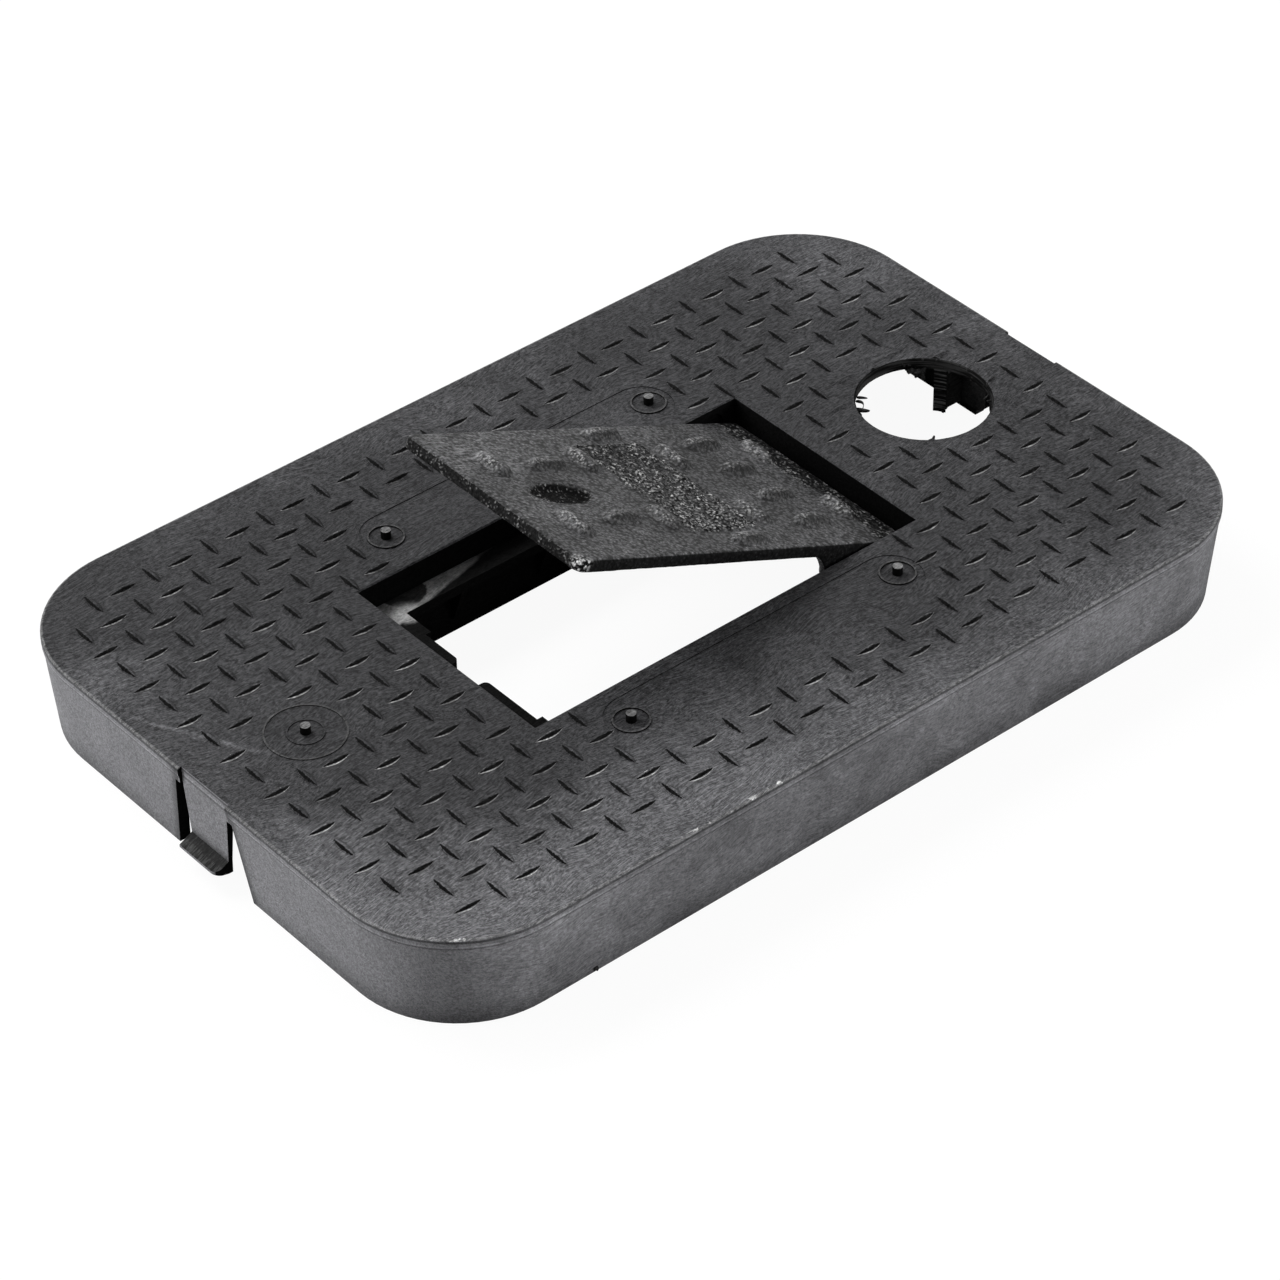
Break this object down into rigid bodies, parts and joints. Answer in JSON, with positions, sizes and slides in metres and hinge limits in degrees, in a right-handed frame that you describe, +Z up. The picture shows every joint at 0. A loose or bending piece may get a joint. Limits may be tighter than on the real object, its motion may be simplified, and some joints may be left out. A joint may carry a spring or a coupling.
{
  "type": "water meter box cover",
  "caption": "Rectangular plastic meter box cover with a raised tread, end snap tongues, a round antenna hole and a hinged cast iron reader lid, shown part open.",
  "frame": {"origin": "centre of the cover's footprint, in the plane of the skirt's lower edge", "axes": "+Z up through the tread, +X along the length towards the end with the lid's hinge and the round hole, +Y across the width"},
  "size_m": [0.4452, 0.286, 0.1111],
  "materials": {
    "cover_plastic": "dusty charcoal black, fine swirl grain",
    "lid_iron": "sand cast, black dip coat, worn bright at one corner"
  },
  "bodies": {
    "cover": {"cover": "cover_plastic"},
    "lid": {"reader_lid": "lid_iron"}
  },
  "joints": [
    {"name": "lid_hinge", "type": "hinge", "parent": "cover", "child": "lid", "pos_m": [0.0875, 0, 0.0315], "axis": [0, 1, 0], "range_deg": [-24.2, 84]}
  ]
}
